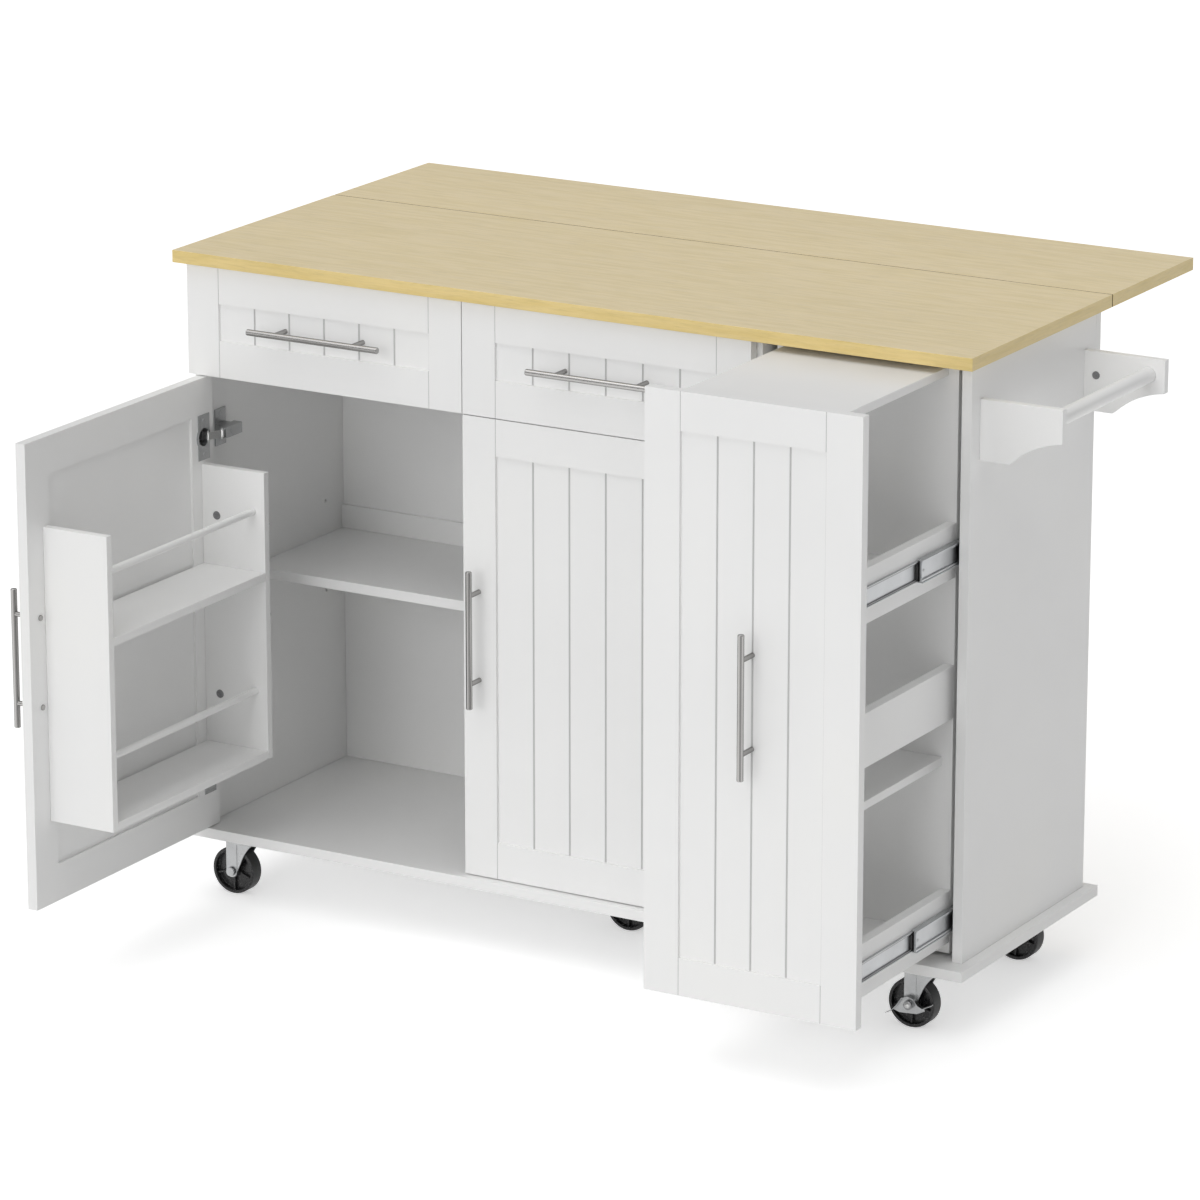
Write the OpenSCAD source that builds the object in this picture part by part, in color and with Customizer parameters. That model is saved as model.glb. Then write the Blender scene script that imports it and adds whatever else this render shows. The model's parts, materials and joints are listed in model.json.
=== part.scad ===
// Drop-leaf kitchen island on casters: two drawers, two doors with a spice rack,
// a pull-out larder, a towel rack and a hinged leaf along the back of the worktop.
// The island is drawn in a cabinet frame: x from the worktop's left end, y from its
// front edge and z from the floor. place() then moves that frame to the origin, the
// middle of the footprint, in the pose with the left door and the pull-out open.

/* [Worktop and leaf] */
// Length of the worktop and of the base panel
top_l = 1260; // [1160:10:1400]
// Depth of the fixed worktop and of the base panel
top_d = 420; // [412:1:450]
// Thickness of the worktop and of the leaf
top_t = 18; // [15:0.5:24]
// Depth of the hinged leaf
leaf_d = 259.5; // [235:0.5:300]
// Open seam between worktop and leaf
seam = 2; // [1.8:0.1:3]

/* [Carcass] */
// Thickness of the base panel
base_t = 15.5; // [12:0.5:20]
// Thickness of the upright panels, the deck and the shelf
panel_t = 15; // [14:0.5:18]
// Height of the upright panels
carcass_h = 831; // [800:1:880]
// Distance of the leaf's rail in front of the worktop's rear edge
rail_inset = 2; // [1:0.5:4]
// Distance of the upright panels behind the worktop's front edge
front_inset = 30; // [28:0.5:34]
// Distance of the side panels from the worktop's ends
side_inset = 15; // [8:1:30]
// Thickness of the back panel
back_t = 5; // [3:0.5:6]
// Distance of the back panel in front of the panels' rear edges
back_inset = 9; // [8:0.5:12]
// Inside width of the pull-out's bay
bay_w = 298.5; // [260:0.5:330]
// Inside height of the drawers' bay
drawer_bay_h = 145; // [135:1:160]
// Height of the rail that carries the leaf's hinges
rail_h = 80; // [70:1:84]
// Height of the shelf's underside above the base panel
shelf_z = 341.5; // [260:0.5:420]
// Gap between the closed spice rack and the shelf
shelf_gap = 7; // [5:0.5:20]
// Thickness of the batten behind the shelf
batten_t = 6; // [4:0.5:9]
// Height of the batten behind the shelf
batten_h = 35.5; // [25:0.5:50]
// Diameter of the shelf pins
pin_dia = 5; // [4:0.5:6]
// Length of a shelf pin outside and inside its panel
pin_l = 8; // [6:0.5:10]
// Distance of the shelf pins from the shelf's front and rear edges
pin_inset = 48; // [30:1:80]
// Pitch of the rows of holes for the shelf pins
pin_pitch = 68; // [40:1:90]

/* [Fronts] */
// Thickness of doors and drawer fronts
front_t = 15.5; // [15:0.5:18]
// Gap between neighbouring fronts
front_gap = 1.5; // [1.5:0.1:3]
// Gap between the fronts and the carcass, held by soft bumpers
bumper_gap = 1.5; // [1.2:0.1:2]
// Height of a drawer front
drawer_front_h = 159.5; // [150:0.5:175]
// Gap above the fronts
top_reveal = 2; // [1.5:0.5:4]
// Gap below the fronts
base_reveal = 1.5; // [1.5:0.5:4]
// Distance of the fronts inside the side panels' outer faces
side_reveal = 0.5; // [0.5:0.1:2]
// Width of the frame around each front's sunk panel
stile_w = 53; // [45:0.5:56]
// Depth of the sunk panel, on the front and on the back of a door
recess_d = 4; // [2:0.5:4.5]
// Width of a V groove between two boards
groove_w = 3; // [2:0.5:4]
// Width of the fine line where a front's upright meets its rails
joint_line_w = 1.2; // [0.6:0.1:2]
// Number of boards in a door or drawer front
front_boards = 6; // [3:1:8]
// Number of boards in the pull-out's front
pull_boards = 4; // [2:1:6]

/* [Handles] */
// Diameter of a handle's bar
bar_dia = 9; // [8:0.5:12]
// Distance of the bar's axis from the front
bar_stand = 27.5; // [25:0.5:35]
// Diameter of a handle's posts
post_dia = 7; // [5:0.5:8]
// Distance between a handle's two posts
post_span = 128; // [96:1:160]
// Length of a drawer handle
drawer_bar_l = 216; // [180:1:260]
// Length of a door handle
door_bar_l = 199; // [180:1:260]
// Distance of a door handle from the door's free edge
door_bar_inset = 25; // [20:0.5:30]
// Height of a door handle's middle above the door's lower edge
door_bar_z = 352; // [250:1:450]
// Height of the pull-out handle's middle above its front's lower edge
pull_bar_z = 423.5; // [300:0.5:550]

/* [Door hinges] */
// Diameter of a hinge cup
cup_dia = 35; // [30:0.5:36]
// Depth of a hinge cup in the door
cup_depth = 11.5; // [10:0.5:12]
// Distance of the cup's middle from the door's hinge edge
cup_inset = 24; // [22:0.5:26]
// Width of the cup's flange
flange_w = 28; // [26:0.5:30]
// Height of the cup's flange
flange_h = 66; // [50:1:66]
// Distance of the upper hinges below the doors' upper edges
hinge_hi = 86; // [60:1:100]
// Height of the lower hinges above the base panel
hinge_lo = 86.5; // [60:0.5:88.5]
// Height of a hinge's mounting plate
mount_h = 54; // [45:1:56]
// Length of a hinge's arm behind its pivot
arm_l = 46; // [44:1:80]

/* [Spice rack] */
// Distance of the rack from the door's free edge
rack_end_inset = 36.625; // [34:0.125:60]
// Depth of the spice rack
rack_d = 105.5; // [80:0.5:120]
// Gap between the spice rack and the upper hinge's flange
rack_hi_gap = 5; // [2:0.5:40]
// Gap between the spice rack and the lower hinge's flange
rack_lo_gap = 2.5; // [2:0.5:12]
// Distance of the rack from the door's hinge edge
rack_inset = 18.5; // [18.5:0.5:22]
// Thickness of the rack's boards
rack_t = 12; // [10:0.5:14]
// Distance of the upper shelf's underside below the rack's upper edge
rack_shelf_drop = 157.5; // [130:0.5:240]
// Diameter of the rack's rods
rod_dia = 10; // [8:0.5:14]
// Height of a rod's axis above the shelf's upper face
rod_lift = 87; // [50:1:100]
// Distance of a rod's axis from the rack's front
rod_inset = 20; // [12:0.5:30]
// Diameter of a cam fitting
cam_dia = 12; // [10:0.5:14]
// Distance of a cam fitting from the face that its board is drawn to
cam_inset = 24; // [18:0.5:30]

/* [Drawers] */
// Height of a drawer box
drawer_box_h = 105; // [90:1:115]
// Length of a drawer box behind its front
drawer_box_l = 330; // [315:1:345]
// Thickness of a drawer's walls
drawer_wall = 12; // [9:0.5:15]
// Thickness of a drawer's bottom
drawer_floor = 5; // [3:0.5:6]
// Gap between a drawer box and the deck below it
drawer_lift = 5; // [3:0.5:10]

/* [Slides] */
// Length of the slides
slide_l = 300; // [290:1:310]
// Thickness of a slide, the gap beside a drawer or pull-out
slide_t = 13; // [12.5:0.1:14]
// Half height of a slide's outer rail
slide_half_h = 17.2; // [16:0.1:19]
// Thickness of a slide's steel
slide_wall = 1.2; // [1:0.1:1.4]
// Running gap between the lips of two rails
slide_play = 0.4; // [0.3:0.05:0.6]

/* [Pull-out] */
// Distance that the pull-out stands open
pull_open = 287; // [200:1:290]
// Share of the pull-out's travel that its middle rails make
mid_share = 0.36; // [0.34:0.01:0.6]
// Thickness of the pull-out's side guards and back
guard_t = 15; // [12:0.5:18]
// Thickness of the pull-out's shelves and top
pull_shelf_t = 12; // [10:0.5:16]
// Length of the pull-out behind its front
pull_box_l = 305.5; // [300:0.5:330]
// Height of a side guard
guard_h = 75; // [60:1:90]
// Height of the lower guards above the base panel
guard_lo = 21; // [15:0.5:30]
// Height of the middle guards above the base panel
guard_mid = 338; // [310:1:360]
// Height of the upper guards above the base panel
guard_hi = 534.5; // [500:0.5:600]
// Height of the bottom shelf above the base panel
pull_shelf_lo = 22; // [15:0.5:30]
// Height of the middle shelf above the base panel
pull_shelf_mid = 270; // [220:1:300]
// Height of the upper shelf above the base panel
pull_shelf_hi = 537; // [500:1:600]
// Height of the pull-out's back above the base panel
pull_back_lo = 5; // [4:0.5:12]
// Gap between the pull-out's top and the worktop
pull_top_gap = 10; // [6:0.5:20]

/* [Towel rack] */
// Distance that the brackets reach out from the side panel
bracket_reach = 121; // [105:1:140]
// Thickness of a bracket
bracket_t = 12; // [10:0.5:18]
// Height of a bracket against the side panel
bracket_h = 84; // [70:1:110]
// Height of a bracket's outer end
nose_h = 47; // [42:1:60]
// Slope of the hollow lower edge where it leaves the bracket's outer end, in degrees
nose_slope = 7; // [0:1:15]
// Length of the straight lower edge at a bracket's inner end
foot_l = 44; // [30:1:50]
// Distance of the brackets' upper edges below the worktop's underside
bracket_drop = 50; // [40:1:100]
// Distance of the front bracket behind the worktop's front edge
bracket_y = 54; // [40:1:90]
// Distance from the front bracket's front face to the rear bracket's rear face
bracket_span = 325; // [280:1:330]
// Diameter of the towel bar
towel_dia = 22; // [18:0.5:28]
// Distance of the towel bar's axis from the brackets' outer ends
towel_inset = 25; // [20:0.5:30]
// Distance of the towel bar's axis below the brackets' upper edges
towel_drop = 23; // [20:0.5:26]
// Diameter of a bracket's cam fitting
bracket_cam_dia = 11; // [9:0.5:14]
// Distance of a bracket's cam fitting from the side panel
bracket_cam_x = 18; // [14:0.5:26]
// Distance of a bracket's cam fitting below the bracket's upper edge
bracket_cam_drop = 33.5; // [20:0.5:44]

/* [Leaf hinges and stays] */
// Number of hinges along the leaf
leaf_hinges = 3; // [2:1:4]
// Length of a leaf hinge
butt_l = 60; // [50:1:80]
// Distance of the outer hinges and stays from the leaf's ends
butt_inset = 120; // [90:5:200]
// Distance of a stay from the outer hinge beside it
stay_offset = 80; // [60:5:120]
// Radius of a hinge knuckle
knuckle_r = 2.2; // [2:0.1:2.4]
// Thickness of the hinge plates
butt_t = 1.2; // [1:0.1:1.2]
// Distance of the stays' wall pivots below the hinge axis
wall_pivot_drop = 107.5; // [100:0.5:115]
// Distance of the stays' leaf pivots behind the hinge axis
leaf_pivot_y = 150; // [140:1:165]
// Width of a stay's links
link_w = 9; // [8:0.5:10]
// Thickness of a stay's links and brackets
link_t = 2.5; // [2:0.1:3]

/* [Casters] */
// Height of the casters, from the floor to the base panel
caster_h = 93.5; // [92:0.5:100]
// Diameter of the wheels
wheel_d = 70; // [64:1:72]
// Width of the wheels
wheel_w = 22.4; // [20:0.2:26]
// Distance of the axle behind the swivel axis
trail = 19.7; // [15:0.1:22]
// Distance of the corner casters from the worktop's ends
caster_x = 76.7; // [70:0.1:120]
// Distance of the corner casters from the worktop's front and rear edges
caster_y = 52; // [50:0.5:80]
// Distance of the middle caster from the worktop's left end
mid_caster_x = 652; // [550:1:750]
// Distance of the middle caster from the worktop's front edge
mid_caster_y = 200; // [150:1:250]
// Width of a fork's legs
leg_w = 18; // [14:0.5:20]
// Thickness of the fork's steel
fork_t = 2.2; // [2:0.1:3]
// Diameter of a wheel's axle
axle_dia = 6; // [5:0.5:8]
// Side of a caster's square plate
plate_w = 60; // [56:1:70]

/* [Hidden] */
$fn = 64;

// Colours
white_paint = "#e9e9e7";
maple = "#dcc7a3";
nickel = "#b9b9b6";
zinc = "#a9abac";
black_rubber = "#232323";

// Clearances
board_gap = 0.05;
shaft_play = 0.05;
seat_play = 0.1;
turn_gap = 0.3;
past = 1;

// Heights
base_z = caster_h;
floor_z = base_z + base_t;
under_z = floor_z + carcass_h;
top_z = under_z + top_t;
deck_top = under_z - drawer_bay_h;
deck_z = deck_top - panel_t;

// Depths
front_y = front_inset - bumper_gap - front_t;
door_back = front_inset - bumper_gap;
rail_y = top_d - rail_inset;
rear_y = rail_y - panel_t;
back_y = rear_y - back_inset - back_t;

// Widths
left_in = side_inset + panel_t;
right_out = top_l - side_inset;
right_in = right_out - panel_t;
div_right = right_in - bay_w;
div_left = div_right - panel_t;
fronts_x = side_inset + side_reveal;
pull_x = (div_left + div_right + front_gap) / 2;
pull_front_w = right_out - side_reveal - pull_x;
column_w = (pull_x - front_gap * 2 - fronts_x) / 2;
right_col_x = fronts_x + column_w + front_gap;
right_col_end = right_col_x + column_w;
part_x = fronts_x + column_w + front_gap / 2 - panel_t / 2;

// Fronts
door_z = floor_z + base_reveal;
drawer_z = under_z - top_reveal - drawer_front_h;
door_h = drawer_z - front_gap - door_z;
pull_h = under_z - top_reveal - door_z;
bar_end_r = 1.2;
handle_screw_dia = 4;
handle_screw_head = 8;
handle_head_t = 2;

// Door hinges, drawn on the closed left door. The open door is the closed one turned a
// right angle about the pole, and each link swings its pivot from one place to the other
pole_in = 14.5;
pole_back = 14.5;
pole = [fronts_x + pole_in, door_back - pole_back];
full_pivot_x = 17;
full_pivot_y = 3;
full_arm_x = 40.9;
full_arm_y = 5.3;
half_pivot_x = 11;
half_pivot_y = 3;
half_arm_x = 41;
half_arm_y = 18;
full_pivot = [fronts_x + full_pivot_x, door_back + full_pivot_y];
full_arm = [fronts_x + full_arm_x, door_back + full_arm_y];
half_pivot = [fronts_x + half_pivot_x, door_back + half_pivot_y];
half_arm = [fronts_x + half_arm_x, door_back + half_arm_y];
open_pivot = pole + [full_pivot[1] - pole[1], pole[0] - full_pivot[0]];
closed_run = full_pivot - full_arm;
open_run = open_pivot - full_arm;
link_open = (atan2(open_run[1], open_run[0]) - atan2(closed_run[1], closed_run[0]) + 360) % 360;
hinge_zs = [floor_z + hinge_lo, door_z + door_h - hinge_hi];
flange_t = 1.2;
link_half_h = 5.5;
link_bar = 2.6;
barrel_r = 1.8;
hinge_pin_r = 1;
ear_t = 2;
cheek_r = 3.6;
arm_pin_r = 1.5;
arm_barrel_r = 2.5;
flange_screw_z = 25;
screw_head_dia = 7;
screw_head_t = 1;
arm_w = 14;
mount_half_w = 13;
mount_t = 2;
mount_foot_h = 12;
mount_screw_z = 19;
cup_wall = 1;

// Spice rack, drawn on the closed door
rack_x = fronts_x + rack_inset;
rack_front = door_back + rack_d;
rack_l = column_w - rack_inset - rack_end_inset;
rack_bottom = hinge_zs[0] + flange_h / 2 + rack_lo_gap;
rack_top = hinge_zs[1] - flange_h / 2 - rack_hi_gap;
rack_shelf_tops = [rack_bottom + rack_t, rack_top - rack_shelf_drop + rack_t];
cam_drop = 14;
cam_zs = [for (z = rack_shelf_tops) z + rod_lift - cam_drop];
rod_seat = 6;
cam_t = 8;
cam_bolt_dia = 5;
cam_bolt_in = 8;
cam_bite = 1;

// Shelf
shelf_y = rack_front + shelf_gap;
shelf_under = floor_z + shelf_z;
shelf_top = shelf_under + panel_t;
pin_z = shelf_under - pin_dia / 2;
pin_ys = [shelf_y + pin_inset, back_y - pin_inset];

// Slides
lip_t = slide_wall;
cab_lip_in = slide_half_h - lip_t;
mid_half_h = cab_lip_in - slide_play;
box_half_h = mid_half_h - lip_t - slide_play;
slide_inset = 4;
slide_y = front_inset + slide_inset;
web_gap = 4.4;
runner_gap = 2;
runner_lip = slide_t - 2 * slide_wall - runner_gap;

// Drawers
drawer_bays = [[left_in, part_x], [part_x + panel_t, div_left]];
drawer_box_z = deck_top + drawer_lift;
drawer_slide_drop = 10;
drawer_slide_z = drawer_box_z + drawer_box_h / 2 - drawer_slide_drop;

// Pull-out, drawn closed and then moved out
guard_xs = [div_right + slide_t, right_in - slide_t - guard_t];
pull_slide_zs = [floor_z + guard_lo + guard_h / 2, floor_z + guard_hi + guard_h / 2];
pull_top_z = under_z - pull_top_gap;
pull_back_y = door_back + pull_box_l;

slot_l = 7;
slot_w = 1.4;
slot_depth = 1;

// Towel rack
bracket_top = under_z - bracket_drop;
bracket_ys = [bracket_y, bracket_y + bracket_span - bracket_t];
towel_seat = 8;
arc_steps = 16;

// Leaf hinges and stays: the axis lies just under the seam
axis_clear = 2.5;
axis_y = rail_y + axis_clear;
axis_z = under_z - axis_clear;
leaf_y = top_d + seam;
butt_pin_r = 1.1;
butt_h = 24;
butt_leaf_d = 26;
plate_clear = 0.35;
knuckles = 5;
knuckle_gap = 0.3;
butt_xs = [for (i = [0:leaf_hinges - 1])
    butt_inset + i * (top_l - 2 * butt_inset - butt_l) / (leaf_hinges - 1)];
stay_xs = [butt_inset + butt_l + stay_offset, top_l - butt_inset - butt_l - stay_offset];
leaf_pivot_drop = 7.5;
wall_pivot_in = 10;
wall_pivot = [axis_y - wall_pivot_in, axis_z - wall_pivot_drop];
leaf_pivot = [axis_y + leaf_pivot_y, axis_z - leaf_pivot_drop];
down_pivot = [axis_y - leaf_pivot_drop, axis_z - leaf_pivot_y];
stay_long = norm(leaf_pivot - wall_pivot);
stay_short = norm(down_pivot - wall_pivot);
lower_l = (stay_long + stay_short) / 2;
upper_l = (stay_long - stay_short) / 2;
stay_turn = atan2(leaf_pivot[1] - wall_pivot[1], leaf_pivot[0] - wall_pivot[0]);
link_pin_r = 2;
link_gap = 0.4;
wall_plate_t = 2;
wall_plate_w = 22;
wall_plate_h = 50;
leaf_bracket_l = 40;

// Casters
axle_z = wheel_d / 2;
caster_spots = [
    [caster_x, caster_y], [top_l - caster_x, caster_y],
    [caster_x, top_d - caster_y], [top_l - caster_x, top_d - caster_y],
    [mid_caster_x, mid_caster_y]
];
plate_t = 2.5;
plate_z = base_z - plate_t;
race_h = 8;
race_r = 17;
crown_t = 3;
crown_top = plate_z - race_h;
crown_z = crown_top - crown_t;
crown_r = 24;
king_r = 4;
king_head_r = 7;
king_head_t = 2;
cheek_gap = 0.8;
cheek_in = wheel_w / 2 + cheek_gap;
strip_out = fork_t + 1;
flank_r = 74;
flank_slope = 66.5;
flank_run = 21.4;
flank_steps = 10;
axle_head_dia = 13;
axle_head_t = 3;
tread = 5;
web_half = 3;
hub_r = 10;
spoke_turn = 20;
spokes = 5;
spoke_t = 3;
spoke_half = 7.5;
wheel_edge = 2;
plate_screw = 5;
plate_screw_head = 9;
plate_screw_h = 2;
plate_screw_in = 10;
plate_screw_edge = 8;
plate_screw_at = plate_w / 2 - plate_screw_edge;
lever_t = 1.2;
lever_lip = 7;
lever_gap = 0.2;

// Footprint, in the cabinet frame, in the pose that is drawn
x_lo = pole[0] - (pole[1] - front_y) - bar_stand - bar_dia / 2;
x_hi = right_out + bracket_reach;
y_lo = min(pole[1] - (fronts_x + column_w - pole[0]), front_y - pull_open - bar_stand - bar_dia / 2);
y_hi = leaf_y + leaf_d;

// ---- Helpers ----

module place() translate([-(x_lo + x_hi) / 2, -(y_lo + y_hi) / 2, 0]) children();

// A board between two opposite corners
module board(from, to) translate(from) cube(to - from);

// A rod along x or y, from a point
module rod_x(at, l, r) translate(at) rotate([0, 90, 0]) cylinder(h = l, r = r);
module rod_y(at, l, r) translate(at) rotate([-90, 0, 0]) cylinder(h = l, r = r);
module rod_z(at, l, r) translate(at) cylinder(h = l, r = r);

// Turns the closed left door and what it carries to its open place
module left_open()
    translate([pole[0], pole[1], 0])
        rotate([0, 0, -90])
            translate([-pole[0], -pole[1], 0])
                children();

// Moves the closed pull-out, or its middle rails, out by a share of its opening
module pulled(share = 1) translate([0, -share * pull_open, 0]) children();

// Mirrors hinge parts from the left door's edge to the right door's edge
module right_hand() translate([fronts_x + right_col_end, 0, 0]) mirror([1, 0, 0]) children();

// ---- Fronts ----

// A front with a frame around a sunk panel of grooved boards, its corner at the origin
module panelled_front(w, h, boards, sunk_back = false) {
    inner_w = w - 2 * stile_w;
    inner_h = h - 2 * stile_w;
    board_w = inner_w / boards;
    difference() {
        cube([w, front_t, h]);
        translate([stile_w, -past, stile_w]) cube([inner_w, recess_d + past, inner_h]);
        if (sunk_back)
            translate([stile_w, front_t - recess_d, stile_w])
                cube([inner_w, recess_d + past, inner_h]);
        for (i = [1:boards - 1])
            translate([stile_w + i * board_w, recess_d, stile_w])
                v_groove(groove_w, inner_h);
        for (x = [stile_w, w - stile_w])
            translate([x, 0, -past])
                v_groove(joint_line_w, h + 2 * past);
    }
}

// A square bar on its edge, which cuts an upright V groove of a given width
module v_groove(width, l) {
    side = width / sqrt(2);
    rotate([0, 0, 45])
        translate([-side / 2, -side / 2, 0])
            cube([side, side, l]);
}

// A bar on two posts, standing off towards -y from a front whose face is y = 0,
// or from a panel that is sunk below that face
module bar_handle(l, sunk = 0) {
    rotate([0, 90, 0]) translate([0, -bar_stand, -l / 2]) rotate_extrude() bar_profile(l);
    for (s = [-1, 1])
        rod_y([s * post_span / 2, -bar_stand, 0], bar_stand + sunk, post_dia / 2);
}

module bar_profile(l) {
    r = bar_dia / 2;
    translate([0, bar_end_r]) square([r, l - 2 * bar_end_r]);
    square([r - bar_end_r, l]);
    for (z = [bar_end_r, l - bar_end_r])
        translate([r - bar_end_r, z]) circle(r = bar_end_r);
}

// The two screws that hold a handle, with their heads on the front's back
module handle_screws(sunk = 0) {
    for (s = [-1, 1]) {
        rod_y([s * post_span / 2, sunk + board_gap, 0], front_t - sunk, handle_screw_dia / 2);
        rod_y([s * post_span / 2, front_t, 0], handle_head_t, handle_screw_head / 2);
    }
}

// Holes for the handle's screws
module handle_bores() {
    for (s = [-1, 1])
        rod_y([s * post_span / 2, -past, 0], front_t + 2 * past, handle_screw_dia / 2 + shaft_play);
}

module upright(at) translate(at) rotate([0, 90, 0]) children();

left_door_bar = [fronts_x + column_w - door_bar_inset, front_y, door_z + door_bar_z];
right_door_bar = [right_col_x + door_bar_inset, front_y, door_z + door_bar_z];
pull_bar = [pull_x + pull_front_w / 2, front_y, door_z + pull_bar_z];
drawer_bar_at = [0, front_y, drawer_z + drawer_front_h / 2];

// ---- Carcass ----

module counter_top() place() color(maple) board([0, 0, under_z], [top_l, top_d, top_z]);

module base_panel() place() color(white_paint) difference() {
    board([0, 0, base_z], [top_l, top_d, floor_z]);
    for (c = caster_spots)
        plate_screws_at(c) rod_z([0, 0, -past], plate_screw_in + 2 * past, plate_screw / 2 + shaft_play);
}

module pin_holes(x) {
    for (y = pin_ys, row = [-1:1])
        rod_x([x, y, pin_z + row * pin_pitch], pin_l + past, pin_dia / 2 + shaft_play);
}

module left_side_panel() place() color(white_paint) difference() {
    board([side_inset, front_inset, floor_z], [left_in, rear_y, under_z]);
    pin_holes(left_in - pin_l);
}

module right_side_panel() place() color(white_paint) difference() {
    board([right_in, front_inset, floor_z], [right_out, rear_y, under_z]);
    bracket_bolts(shaft_play);
}

module bay_divider() place() color(white_paint) difference() {
    board([div_left, front_inset, floor_z], [div_right, back_y, under_z]);
    pin_holes(div_left - past);
}

module drawer_divider_panels() place() color(white_paint) {
    board([left_in, front_inset, deck_z], [div_left, back_y, deck_top]);
    board([part_x, front_inset, deck_top + board_gap], [part_x + panel_t, back_y, under_z]);
}

module back_panel() place() color(white_paint)
    board([left_in, back_y, floor_z], [right_in, back_y + back_t, under_z]);

module shelf() place() color(white_paint)
    board([left_in, shelf_y, shelf_under], [div_left, back_y, shelf_top]);

module shelf_batten() place() color(white_paint)
    board([left_in, back_y - batten_t, shelf_top], [div_left, back_y, shelf_top + batten_h]);

module shelf_pins() place() color(nickel)
    for (y = pin_ys, x = [left_in, div_left])
        rod_x([x - pin_l, y, pin_z], 2 * pin_l, pin_dia / 2);

module rear_rail() place() color(white_paint)
    board([side_inset, rear_y, under_z - rail_h], [right_out, rail_y, under_z]);

// ---- Towel rack ----

// Side view of a bracket: a straight top, and a nose and a foot joined by a hollow arc
module bracket_profile() {
    rise = bracket_h - nose_h;
    run = bracket_reach - foot_l;
    slope_end = 2 * atan2(rise, run) - nose_slope;
    r = norm([rise, run]) / (2 * sin((slope_end - nose_slope) / 2));
    polygon(concat(
        [[0, 0], [bracket_reach, 0]],
        [for (i = [0:arc_steps])
            let (t = nose_slope + (slope_end - nose_slope) * i / arc_steps)
                [bracket_reach - r * (sin(t) - sin(nose_slope)),
                 -nose_h - r * (cos(nose_slope) - cos(t))]],
        [[0, -bracket_h]]
    ));
}

towel_at = [right_out + bracket_reach - towel_inset, bracket_top - towel_drop];
cam_at = [right_out + bracket_cam_x, bracket_top - bracket_cam_drop];

// The bolts that draw the brackets to the side panel
module bracket_bolts(play = 0) {
    for (y = bracket_ys)
        rod_x([right_out - cam_bolt_in, y + bracket_t / 2, cam_at[1]],
            cam_bolt_in + bracket_cam_x - bracket_cam_dia / 2 + cam_bite, cam_bolt_dia / 2 + play);
}

// Cam discs in the brackets' inner faces
module bracket_cam_discs(play = 0) {
    rod_y([cam_at[0], bracket_ys[0] + bracket_t - cam_t, cam_at[1]],
        cam_t + play, bracket_cam_dia / 2 + play);
    rod_y([cam_at[0], bracket_ys[1] - play, cam_at[1]], cam_t + play, bracket_cam_dia / 2 + play);
}

module towel_brackets() place() color(white_paint) difference() {
    for (y = bracket_ys)
        translate([right_out, y + bracket_t, bracket_top])
            rotate([90, 0, 0])
                linear_extrude(bracket_t)
                    bracket_profile();
    rod_y([towel_at[0], bracket_ys[0] + bracket_t - towel_seat, towel_at[1]],
        bracket_ys[1] - bracket_ys[0] - bracket_t + 2 * towel_seat, towel_dia / 2 + shaft_play);
    bracket_bolts(shaft_play);
    bracket_cam_discs(seat_play);
}

module towel_bar() place() color(white_paint)
    rod_y([towel_at[0], bracket_ys[0] + bracket_t - towel_seat, towel_at[1]],
        bracket_ys[1] - bracket_ys[0] - bracket_t + 2 * towel_seat, towel_dia / 2);

// Two crossed slots in a cam's face
module cross_slot() {
    for (a = [45, 135])
        rotate([0, 0, a])
            translate([-slot_l / 2, -slot_w / 2, -slot_depth])
                cube([slot_l, slot_w, slot_depth + past]);
}

module towel_bracket_cams() place() color(zinc) {
    difference() {
        bracket_cam_discs();
        translate([cam_at[0], bracket_ys[0] + bracket_t, cam_at[1]])
            rotate([-90, 0, 0])
                cross_slot();
        translate([cam_at[0], bracket_ys[1], cam_at[1]])
            rotate([90, 0, 0])
                cross_slot();
    }
    bracket_bolts();
}

// ---- Leaf, its hinges and stays ----

// Knuckles of one hinge half: the even ones belong to the rail, the odd ones to the leaf
module knuckles_of(x, first) {
    l = butt_l / knuckles;
    for (i = [first:2:knuckles - 1])
        rod_x([x + i * l + knuckle_gap / 2, axis_y, axis_z], l - knuckle_gap, knuckle_r);
}

// Fingers that join a hinge plate to its own knuckles
module rail_fingers(x) {
    l = butt_l / knuckles;
    for (i = [0:2:knuckles - 1])
        board([x + i * l + knuckle_gap / 2, rail_y, axis_z - knuckle_r - plate_clear - 1],
            [x + (i + 1) * l - knuckle_gap / 2, rail_y + butt_t, axis_z]);
}

module leaf_fingers(x) {
    l = butt_l / knuckles;
    for (i = [1:2:knuckles - 1])
        board([x + i * l + knuckle_gap / 2, axis_y, under_z - butt_t],
            [x + (i + 1) * l - knuckle_gap / 2, axis_y + knuckle_r + plate_clear + 1, under_z]);
}

module rail_butt(x) {
    board([x, rail_y, axis_z - knuckle_r - plate_clear - butt_h],
        [x + butt_l, rail_y + butt_t, axis_z - knuckle_r - plate_clear]);
    rail_fingers(x);
    knuckles_of(x, 0);
    rod_x([x + knuckle_gap / 2, axis_y, axis_z], butt_l - knuckle_gap, butt_pin_r);
}

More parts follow.
